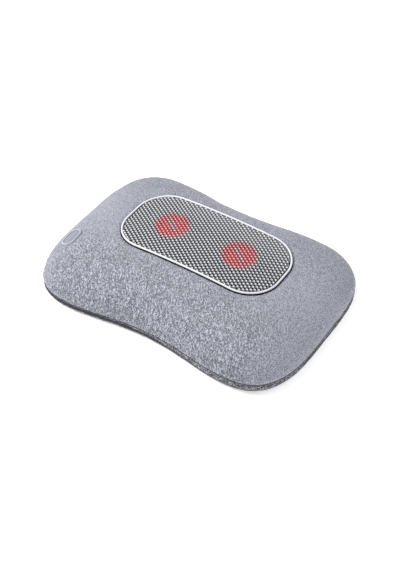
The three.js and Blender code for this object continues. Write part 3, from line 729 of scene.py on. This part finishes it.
base = {
    "columns": 400, "height": baseHigh.z, "thick": 0.0016, "slotHalfWidth": 0.0085,
    "slotHalfLength": 0.115, "slotY": -0.06,
}
baseProfile = [  # share of the outline kept, and height
    (1.0, 1.0), (1.0, 0.93), (1.0, 0.85), (0.999, 0.74), (0.996, 0.62), (0.991, 0.5), (0.985, 0.38),
    (0.979, 0.27), (0.972, 0.17), (0.965, 0.09), (0.957, 0.035), (0.947, 0.006), (0.935, 0.0), (0.92, 0.0),
    (0.9, 0.0), (0.86, 0.0), (0.8, 0.0), (0.7, 0.0), (0.58, 0.0), (0.45, 0.0), (0.3, 0.0), (0.15, 0.0), (0.0, 0.0),
]
baseLine = allRound(evenSteps(seamPoint, base["columns"] // 4))


def basePoint(column, row):
    k = column % base["columns"]
    share, level = baseProfile[row]
    spot = baseLine[k] * share
    height = base["height"] - seamDrop(baseLine[k])
    z = height * level
    seamNear = math.exp(-((height - z) / (2.6 * mm)) ** 2)
    ahead, behind = baseLine[(k + 1) % base["columns"]], baseLine[k - 1]
    along = (ahead - behind).normalized()
    outward = Vector((along.y, -along.x, 0))
    pucker = noise.noise(Vector((k / base["columns"] * 90, 3, z / 0.02))) * 0.5 * mm * (1 - seamNear)
    point = spot + outward * (pucker * (1 if level > 0.05 else 0) - cushion["seamRoll"] * seamNear)
    point.z = z if level > 0.05 else z + max(noise.noise(spot / 0.02), 0) * 0.25 * mm
    return point


def baseCover():
    bm = wrappedGrid(base["columns"], len(baseProfile) - 1, basePoint)
    low, high = base["slotY"] - base["slotHalfWidth"], base["slotY"] + base["slotHalfWidth"]
    cuts = [((-base["slotHalfLength"], 0, 0), (1, 0, 0)), ((base["slotHalfLength"], 0, 0), (1, 0, 0)),
            ((0, low, 0), (0, 1, 0)), ((0, high, 0), (0, 1, 0))]
    for at, across in cuts:
        near = [f for f in bm.faces if f.calc_center_median().z < 2 * mm]
        geometry = near + list({e for f in near for e in f.edges}) + list({v for f in near for v in f.verts})
        bmesh.ops.bisect_plane(bm, geom=geometry, plane_co=at, plane_no=across, dist=1e-6)
    def inSlot(face):
        c = face.calc_center_median()
        return c.z < 2 * mm and abs(c.x) < base["slotHalfLength"] and low < c.y < high
    bmesh.ops.delete(bm, geom=[f for f in bm.faces if inSlot(f)], context="FACES")
    bmesh.ops.recalc_face_normals(bm, faces=bm.faces)
    cloth = makeObject("heatherBase", bm, heather, "pillow", ["base_cover"])
    thickness = cloth.modifiers.new("thickness", "SOLIDIFY")
    thickness.thickness, thickness.offset = base["thick"], -1
    return cloth


heatherBase = baseCover()
print("base cover made")

# seam stitches in the crease

stitch = {"count": 380, "length": 0.0021, "radius": 0.00028}


def capsule(length, radius, sides=6):
    bm = bmesh.new()
    bmesh.ops.create_uvsphere(bm, u_segments=sides, v_segments=4, radius=radius)
    for vert in bm.verts:
        vert.co.z += math.copysign(length / 2 - radius, vert.co.z) if abs(vert.co.z) > 1e-7 else 0
    bmesh.ops.rotate(bm, verts=bm.verts, matrix=Matrix.Rotation(math.pi / 2, 3, "Y"))
    return bm


def seamStitches():
    placements = []
    steps = len(seamLine) - 1
    for i in range(stitch["count"]):
        k = round(i / stitch["count"] * steps) % columns
        out = seamOutward(k)
        along = Vector((-out.y, out.x, 0))
        spot = seamLine[k] - out * (cushion["seamRoll"] - 0.15 * mm)
        spot.z = seamZ - seamDrop(seamLine[k]) - 0.15 * mm
        turn = Matrix((along, out, Vector((0, 0, -1)))).transposed().to_4x4()
        placements.append(Matrix.Translation(spot) @ turn)
    bm = bmesh.new()
    addCopies(bm, capsule(stitch["length"], stitch["radius"]), placements)
    return makeObject("seamStitches", bm, softGrey, "pillow", ())


seamStitches()
print("seam stitched")

# mesh panel: a lattice of puffy knots joined by thick yarn walls



def panelInset(x, y):
    # distance inside the panel's outline, negative outside
    radius = panel["corner"]
    dx = abs(x - panel["shift"]) - (panel["halfLength"] - radius)
    dy = abs(y - panelY) - (panel["halfWidth"] - radius)
    outside = Vector((max(dx, 0), max(dy, 0))).length
    return radius - outside - min(max(dx, dy), 0)


def panelTop(x, y):
    inset = max(panelInset(x, y), 0)
    reach = panel["halfWidth"]
    dome = panel["dome"] * (1 - (1 - min(inset / reach, 1)) ** 2)
    near = min((Vector((x, y, 0)) - spot).length for spot in headSpots)
    bump = panel["headBump"] * math.exp(-(near / panel["headReach"]) ** 4) * min(inset / (12 * mm), 1)
    return rimHeight(x) + dome + bump


def ontoPanel(x, y):
    # a point outside the panel's edge brought back onto it
    edge = lattice["margin"]
    for attempt in range(6):
        inset = panelInset(x, y)
        if inset >= edge - 1e-6:
            break
        step = 0.05 * mm
        gx = (panelInset(x + step, y) - inset) / step
        gy = (panelInset(x, y + step) - inset) / step
        size = gx * gx + gy * gy
        x, y = x + gx / size * (edge - inset), y + gy / size * (edge - inset)
    return x, y


def spacerMesh():
    bm = bmesh.new()
    depth = bm.verts.layers.float.new("depth")
    steps = lattice["steps"]
    bmesh.ops.create_grid(bm, x_segments=2 * steps, y_segments=2 * steps, size=steps)
    for vert in bm.verts:
        a, b = vert.co.x, vert.co.y
        vert.co = Vector(((a + b) * lattice["across"], (a - b) * lattice["along"] + panelY, 0))
    margin = lattice["margin"]
    outside = [f for f in bm.faces if sum(panelInset(v.co.x, v.co.y) > margin for v in f.verts) < 2]
    bmesh.ops.delete(bm, geom=outside, context="FACES")
    for vert in bm.verts:
        vert.co.x, vert.co.y = ontoPanel(vert.co.x, vert.co.y)
    bmesh.ops.dissolve_degenerate(bm, dist=0.5 * mm, edges=bm.edges)
    inner = [f for f in bm.faces if f.calc_area() > lattice["smallest"]]
    knots = set(bm.verts)
    bmesh.ops.inset_individual(bm, faces=inner, thickness=lattice["link"], use_even_offset=True)
    bmesh.ops.delete(bm, geom=inner, context="FACES")
    for vert in bm.verts:
        rise = lattice["knotRise"] if vert in knots else -lattice["sag"]
        vert.co.z = panelTop(vert.co.x, vert.co.y) + rise
    bmesh.ops.recalc_face_normals(bm, faces=bm.faces)
    if sum(f.normal.z for f in bm.faces) < 0:
        bmesh.ops.reverse_faces(bm, faces=bm.faces)
    top = bm.faces[:]
    low = bmesh.ops.extrude_face_region(bm, geom=top)["geom"]
    for vert in [v for v in low if isinstance(v, bmesh.types.BMVert)]:
        vert.co.z = panelTop(vert.co.x, vert.co.y) - lattice["thick"]
        vert[depth] = 1.0
    bmesh.ops.recalc_face_normals(bm, faces=bm.faces)
    cloth = makeObject("spacerMesh", bm, spacer, "pillow", ["mesh_panel"])
    rounding = cloth.modifiers.new("rounding", "SUBSURF")
    rounding.levels = rounding.render_levels = 1
    return cloth


def meshKnots():
    # a puffed knot of white yarn where the links meet
    placements = []
    tilt = math.atan2(-lattice["along"], lattice["across"])
    reachX = int(panel["halfLength"] / lattice["across"]) + 1
    reachY = int(panel["halfWidth"] / lattice["along"] / 2) + 2
    for i in range(-reachX, reachX + 1):
        for j in range(-reachY, reachY + 1):
            x = i * lattice["across"]
            y = (2 * j + i % 2) * lattice["along"] + panelY
            if panelInset(x, y) < lattice["margin"] + 0.5 * mm:
                continue
            step = 0.5 * mm
            slopeX = (panelTop(x + step, y) - panelTop(x - step, y)) / (2 * step)
            slopeY = (panelTop(x, y + step) - panelTop(x, y - step)) / (2 * step)
            tiltAndLowFrontShade = Vector((0, 0, 1)).rotation_difference(Vector((-slopeX, -slopeY, 1))).to_matrix().to_4x4()
            wobble = noise.noise_vector(Vector((i * 0.71, j * 1.3, 0.5))) * 0.12
            spin = Matrix.Rotation(tilt + wobble.x, 4, "Z")
            size = Matrix.Diagonal(Vector(lattice["knotSize"]) * (1 + wobble.y)).to_4x4()
            at = Matrix.Translation((x, y, panelTop(x, y) + 0.1 * mm))
            placements.append(at @ tiltAndLowFrontShade @ spin @ size)
    ball = bmesh.new()
    bmesh.ops.create_uvsphere(ball, u_segments=8, v_segments=5, radius=1)
    bm = bmesh.new()
    addCopies(bm, ball, placements)
    knots = makeObject("meshKnots", bm, knotYarn, "pillow", ())
    return len(placements)


def meshLining():
    # a dark backing cloth under the mesh, with a round window over each head
    bm = bmesh.new()
    bmesh.ops.create_grid(bm, x_segments=100, y_segments=48, size=0.5)
    for vert in bm.verts:
        vert.co.x = vert.co.x * 2 * panel["halfLength"] + panel["shift"]
        vert.co.y = vert.co.y * 2 * panel["halfWidth"] + panelY
    outside = [f for f in bm.faces if panelInset(*f.calc_center_median().xy) < lattice["margin"]]
    bmesh.ops.delete(bm, geom=outside, context="FACES")
    for spot in headSpots:
        inside = [f for f in bm.faces if (f.calc_center_median() - spot).length < lining["window"]]
        bmesh.ops.delete(bm, geom=inside, context="FACES")
        for vert in {v for e in bm.edges if e.is_boundary for v in e.verts}:
            away = Vector((vert.co.x - spot.x, vert.co.y - spot.y, 0))
            if away.length < lining["window"] + 4 * mm:
                vert.co = spot + away.normalized() * lining["window"]
    for vert in bm.verts:
        vert.co.x, vert.co.y = ontoPanel(vert.co.x, vert.co.y)
        vert.co.z = panelTop(vert.co.x, vert.co.y) - lining["below"]
    bmesh.ops.recalc_face_normals(bm, faces=bm.faces)
    cloth = makeObject("meshLining", bm, liningCloth, "pillow", ())
    thickness = cloth.modifiers.new("thickness", "SOLIDIFY")
    thickness.thickness, thickness.offset = 0.5 * mm, 0


lining = {"window": 0.0245, "below": 0.0031}
spacerPiece = spacerMesh()
print("knots", meshKnots())
meshLining()
print("spacer mesh made", len(spacerPiece.data.polygons))

# satin piping round the panel

piping = {"columns": 520, "sides": 14, "lift": 0.0003}
pipingLine = panelRing(0, piping["columns"])


def pipingPoint(column, row):
    k = column % piping["columns"]
    angle = (row % piping["sides"]) / piping["sides"] * math.tau
    ahead, behind = pipingLine[(k + 1) % piping["columns"]], pipingLine[k - 1]
    along = (ahead - behind).normalized()
    outward = Vector((along.y, -along.x, 0))
    spot = pipingLine[k] + Vector((0, panelY, rimHeight(pipingLine[k].x) + piping["lift"]))
    crinkle = noise.noise(spot / (3.5 * mm) + outward * math.sin(angle)) * 0.09 * mm
    radius = panel["pipingSeen"] + crinkle
    return spot + outward * math.cos(angle) * radius + Vector((0, 0, math.sin(angle) * radius))


def satinPiping():
    bm = wrappedGrid(piping["columns"], piping["sides"], pipingPoint, uvSize=(pipingLength, 0.012))
    return makeObject("satinPiping", bm, satin, "pillow", ["panel_piping"])


pipingLength = sum((b - a).length for a, b in zip(pipingLine, pipingLine[1:]))
satinPiping()
print("piping made")

# foam surround and the pad under the housing

zipMiddle = (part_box("zip_tape_front")[0].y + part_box("zip_tape_rear")[1].y) / 2

foam = {
    "columns": 448, "clear": 0.0036, "foot": 0.0022, "footRows": 16, "pocket": 0.018,
    "wellHalfLength": 0.1055, "wellHalfWidth": 0.0475, "wellCorner": 0.0295,
    "channelHalfLength": 0.121, "channelHalfWidth": 0.0205, "channelTop": 0.0072,
}
foamRises = [0.0, 0.004, 0.015, 0.04, 0.09, 0.14, 0.19, 0.24, 0.29, 0.34, 0.39, 0.45, 0.52, 0.6, 0.72, 0.85, 0.96]
wellLine = allRound(evenSteps(
    roundedQuarter(foam["wellHalfLength"], foam["wellHalfWidth"], foam["wellCorner"]), foam["columns"] // 4))


def inPocket(spot):
    # sunk where the button's case and the charging socket sit
    if offButton(spot, button["outer"] + 1.5 * mm)[0] < 0:
        return spot - buttonUp * foam["pocket"]
    if offSocket(spot, socketRadius + 0.5 * mm)[0] < 0:
        return spot - Vector((0, foam["pocket"], 0))
    return spot


def foamPoint(column, row):
    # up the outside, down the well, and back along the foot
    k = column % foam["columns"]
    near = round(k * columns / foam["columns"]) % columns
    well = wellLine[k] + Vector((0, headY, 0))
    if row < len(foamRises):
        rise = foamRises[row]
        spot = crownPoint(rise, near) - crownNormal(rise, near) * foam["clear"]
        return spot - seamOutward(near) * 1.2 * mm if rise < 0.02 else inPocket(spot)
    row -= len(foamRises)
    wellTop = rimHeight(well.x) - 8 * mm
    heights = [wellTop + 1.2 * mm, wellTop, wellTop - 1.5 * mm, 0.04, 0.022]
    if row < len(heights):
        flare = (well - Vector((0, headY, 0))).normalized() * (2.5 * mm if row == 0 else 0)
        return well + flare + Vector((0, 0, heights[row]))
    share = (row - len(heights)) / (foam["footRows"] - 1)
    spot = well.lerp(seamLine[near] * 0.93, share)
    over = abs(spot.x) < foam["channelHalfLength"] and abs(spot.y - zipMiddle) < foam["channelHalfWidth"]
    return Vector((spot.x, spot.y, foam["channelTop"] if over else foam["foot"]))


def foamSurround():
    rows = len(foamRises) + 5 + foam["footRows"]
    bm = wrappedGrid(foam["columns"], rows, lambda column, row: foamPoint(column, row % rows))
    block = makeObject("foamSurround", bm, charcoal, "pillow", ["foam_surround"])
    return block


foamSurround()


def foamPad():
    low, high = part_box("base_pad")
    bm = bmesh.new()
    bmesh.ops.create_grid(bm, x_segments=52, y_segments=24, size=0.5)
    halfX, halfY = (high.x - low.x) / 2, (high.y - low.y) / 2
    for vert in bm.verts:
        # a square grid eased into the rounded outline
        u, v = vert.co.x * 2, vert.co.y * 2
        pinch = 0.15 * (u * u) * (v * v)
        vert.co = Vector((u * halfX * (1 - pinch * 0.4), headY + v * halfY * (1 - pinch), low.z + 0.15 * mm))
    bmesh.ops.solidify(bm, geom=bm.faces[:], thickness=-(high.z - low.z - 0.3 * mm))
    bmesh.ops.recalc_face_normals(bm, faces=bm.faces)
    pad = makeObject("foamPad", bm, charcoal, "pillow", ["base_pad"])
    return pad


foamPad()
print("foam made")

# massage lobes: two hollow half domes on each head

lobe = {
    "radius": 0.0225, "round": 0.0088, "groove": 0.006, "turn": -39, "recess": 0.0076,
    "recessHigh": 0.0037, "edge": 0.0011, "steps": 64,
}


def lobeBand():
    low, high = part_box("massage_lobe_left_rear")
    return low.z, high.z


def lobeMesh():
    foot, top = lobeBand()
    radius, corner = lobe["radius"], lobe["round"]
    recess, high = lobe["recess"], foot + lobe["recessHigh"]
    profile = [(0, high), (recess - 0.4 * mm, high), (recess, high - 0.4 * mm), (recess, foot),
               (radius, foot), (radius, (foot + top - corner) / 2)]
    for i in range(9):
        angle = i / 8 * math.pi / 2
        profile.append((radius - corner + corner * math.cos(angle), top - 0.9 * mm - corner + corner * math.sin(angle)))
    profile += [(9 * mm, top - 0.35 * mm), (4 * mm, top - 0.08 * mm), (0, top)]
    bm = turnedShape(profile, lobe["steps"])
    cutAt = lobe["groove"] / 2
    bmesh.ops.bisect_plane(bm, geom=bm.verts[:] + bm.edges[:] + bm.faces[:], plane_co=(0, cutAt, 0),
                           plane_no=(0, -1, 0), clear_outer=True, dist=1e-6)
    rim = [e for e in bm.edges if e.is_boundary]
    bmesh.ops.contextual_create(bm, geom=rim)
    arc = [e for e in rim if all(v.co.z > high + 1 * mm or abs(v.co.x) > recess + 2 * mm for v in e.verts)
           and any(v.co.z > foot + 1e-5 for v in e.verts)]
    bmesh.ops.bevel(bm, geom=arc, offset=lobe["edge"], segments=3, profile=0.5, affect="EDGES", material=-1)
    bmesh.ops.recalc_face_normals(bm, faces=bm.faces)
    return bm


def massageLobes():
    for side, spot in zip(("left", "right"), headSpots):
        for place, turn in (("rear", 0), ("front", 180)):
            bm = lobeMesh()
            spin = Matrix.Rotation(math.radians(lobe["turn"] + turn), 4, "Z")
            bmesh.ops.transform(bm, matrix=Matrix.Translation(spot) @ spin, verts=bm.verts)
            node = f"massage_lobe_{side}_{place}"
            makeObject(f"lobe_{side}_{place}", bm, redLens, f"{side}_head", [node])


massageLobes()
print("lobes made")

# button: a raised oval ring and a soft cap with a power mark


def ovalPoint(column, columnsHere, radius):
    # a point round an oval of two half circles, evenly spread
    straight = button["straight"]
    share = column / columnsHere * 2 % 2
    flat, bend = 2 * straight, math.pi * radius
    run = share % 1 * (flat + bend)
    if run < flat:
        point = Vector((straight - run, radius, 0))
    else:
        angle = math.pi / 2 + (run - flat) / radius
        point = Vector((-straight + radius * math.cos(angle), radius * math.sin(angle), 0))
    return point if share < 1 else -point


ringProfile = [  # distance from the ring's middle line as a share, and height in millimetres
    (-1.0, -6.9), (-1.0, -3.0), (-1.0, 0.1), (-0.95, 0.6), (-0.72, 1.02), (-0.35, 1.22), (0.0, 1.28),
    (0.4, 1.2), (0.75, 0.92), (0.96, 0.45), (1.0, -0.1), (1.0, -3.0), (1.0, -6.9),
]


def buttonRing():
    middle = (button["outer"] + button["inner"]) / 2
    half = (button["outer"] - button["inner"]) / 2 - 0.05 * mm

    def pointAt(column, row):
        reach, height = ringProfile[row % len(ringProfile)]
        spot = ovalPoint(column % 144, 144, middle + reach * half)
        return buttonFrame @ Vector((spot.x, spot.y, height * mm))
    bm = wrappedGrid(144, len(ringProfile), pointAt)
    makeObject("buttonRing", bm, ridgeHighlightGrey, "pillow", ["button_bezel"])


def powerCap():
    edge = button["inner"] - 0.35 * mm
    shares = [(0.02, 1.0), (0.3, 0.97), (0.6, 0.85), (0.8, 0.66), (0.92, 0.42), (0.98, 0.15), (1.0, -0.3),
              (1.0, -3.3), (0.5, -3.4), (0.02, -3.4)]

    def pointAt(column, row):
        share, level = shares[row]
        height = level * button["capCrown"] if level > 0 else level * mm
        spot = ovalPoint(column % 120, 120, edge)
        return buttonFrame @ Vector((spot.x * share, spot.y * share, height))
    bm = wrappedGrid(120, len(shares) - 1, pointAt)
    bmesh.ops.holes_fill(bm, edges=bm.edges)
    stem = turnedShape([(0, -6.6 * mm), (2.2 * mm, -6.6 * mm), (2.2 * mm, -3.2 * mm), (0, -3.2 * mm)], 20)
    bmesh.ops.transform(stem, matrix=buttonFrame, verts=stem.verts)
    addCopies(bm, stem, [Matrix.Identity(4)])
    bmesh.ops.recalc_face_normals(bm, faces=bm.faces)
    makeObject("powerCap", bm, softGrey, "button", ["power_button"])


def powerMark():
    radius, thick = 3.1 * mm, 0.38 * mm

    def pointAt(column, row):
        angle = math.radians(-55 + 290 * column / 40)
        around = row / 8 * math.tau
        size = thick * (0.4 if column in (0, 40) else 1)
        reach = radius + size * math.cos(around)
        flat = Vector((reach * math.sin(math.radians(90) - angle), reach * math.cos(math.radians(90) - angle), 0))
        return buttonFrame @ Vector((flat.x, flat.y, button["capCrown"] * 0.96 + size * 0.8 * math.sin(around)))
    bm = wrappedGrid(40, 8, pointAt)
    bmesh.ops.holes_fill(bm, edges=[e for e in bm.edges if e.is_boundary])
    bar = capsule(3.4 * mm, thick, 8)
    standing = buttonFrame @ Matrix.Translation((-3.0 * mm, 0, button["capCrown"] * 0.97))
    addCopies(bm, bar, [standing])
    bmesh.ops.recalc_face_normals(bm, faces=bm.faces)
    makeObject("powerMark", bm, ridgeHighlightGrey, "button", ())


buttonRing()
powerCap()
powerMark()
print("button made")

# zip: woven tapes with a row of teeth on each

zipper = {"pitch": 0.0021, "half": 0.1144}


def zipTapes():
    for side, name in ((-1, "zip_tape_front"), (1, "zip_tape_rear")):
        low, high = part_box(name)
        tapeLow, tapeHigh = 3.95 * mm, 4.65 * mm
        near = zipMiddle + side * 1.6 * mm
        far = low.y if side < 0 else high.y
        bm = bmesh.new()
        bmesh.ops.create_grid(bm, x_segments=150, y_segments=6, size=0.5)
        for vert in bm.verts:
            x = vert.co.x * 2 * zipper["half"]
            y = near + (far - near) * (vert.co.y + 0.5)
            ripple = noise.noise(Vector((x, y, side)) / 0.012) * 0.18 * mm
            vert.co = Vector((x, y, tapeLow + ripple))
        bmesh.ops.recalc_face_normals(bm, faces=bm.faces)
        if sum(f.normal.z for f in bm.faces) > 0:
            bmesh.ops.reverse_faces(bm, faces=bm.faces)
        bmesh.ops.solidify(bm, geom=bm.faces[:], thickness=tapeHigh - tapeLow)
        bmesh.ops.recalc_face_normals(bm, faces=bm.faces)
        tape = makeObject(f"tape_{name[9:]}", bm, tapeCloth, "pillow", [name])
        count = int(2 * zipper["half"] / zipper["pitch"]) - 1
        placements = []
        for i in range(count):
            x = -zipper["half"] + (i + (0.75 if side > 0 else 0.25)) * zipper["pitch"] + 0.4 * mm
            placements.append(Matrix.Translation((x, zipMiddle + side * 1.4 * mm, 4.3 * mm)))
        teeth = bmesh.new()
        bmesh.ops.create_cube(teeth, size=1, matrix=Matrix.Diagonal((1.1 * mm, 1.6 * mm, 1.9 * mm, 1)))
        bmesh.ops.bevel(teeth, geom=teeth.edges[:], offset=0.25 * mm, segments=1, profile=0.5, affect="EDGES", material=-1)
        row = bmesh.new()
        addCopies(row, teeth, placements)
        makeObject(f"teeth_{name[9:]}", row, black, "pillow", (), smooth=False)


zipTapes()
print("zip made")

# the frame's own hard pieces: finishes and softened edges

nodeLooks = {
    "housing_lower": caseGrey, "housing_upper": caseGrey, "housing_screw": steel, "gear_case": acetal,
    "gear_lid": acetal, "light_board": board, "led": redLens, "battery_cradle": caseGrey,
    "battery_cell": sleeve, "motor_can": motorSteel, "motor_end_bell": black, "motor_driver": black,
    "board_capacitor": black, "button_case": black, "tact_switch": black, "charge_socket": black,
    "control_board": board, "button_board": board, "socket_bezel": softGrey, "socket_lead": leadSheath,
    "button_lead": leadSheath, "worm_wheel": acetal, "output_shaft": steel, "carrier": acetal,
    "hub_screw": steel, "rotor_shaft": steel, "motor_armature": motorSteel, "worm_left": brass,
    "worm_right": brass, "zip_slider": steel, "zip_pull": steel,
}
edgeSizes = {
    "housing": 0.9, "gear": 0.5, "battery": 0.5, "motor": 0.6, "socket_bezel": 0.8, "carrier": 0.5,
    "zip": 0.25, "charge": 0.3, "led": 0.3, "hub": 0.3, "board_capacitor": 0.4,
}


def finishNodes():
    shown = 0
    for name, node in frame["nodes"].items():
        look = next((nodeLooks[k] for k in sorted(nodeLooks, key=len, reverse=True) if name.startswith(k)), None)
        if look is None or node.hide_render:
            continue
        for part in node.material_slots:
            part.link = "OBJECT"
            part.material = look
        size = next((edgeSizes[k] for k in edgeSizes if name.startswith(k)), 0)
        if size:
            node.modifiers.new("weld", "WELD").merge_threshold = 1e-5
            edge = node.modifiers.new("edge", "BEVEL")
            edge.width, edge.segments, edge.limit_method = size * mm, 2, "ANGLE"
            edge.angle_limit, edge.use_clamp_overlap = math.radians(38), True
            edge.harden_normals = False
        shown += 1
    return shown


print("hard pieces finished", finishNodes())

# floor


def floorMaterial():
    s = Shader("paleFloor")
    mottle = s.noise(6, 2)
    return s.done({
        "Base Color": s.mix(mottle, gray(0.93), gray(0.96)), "Roughness": 0.9,
        "Emission Color": gray(1.0), "Emission Strength": 0.42})


def paleFloor():
    bm = bmesh.new()
    bmesh.ops.create_grid(bm, x_segments=1, y_segments=1, size=4)
    data = bpy.data.meshes.new("paleFloor")
    bm.to_mesh(data)
    bm.free()
    data.materials.append(floorMaterial())
    floor = bpy.data.objects.new("paleFloor", data)
    floor.location.z = -0.5 * mm
    bpy.context.collection.objects.link(floor)


paleFloor()
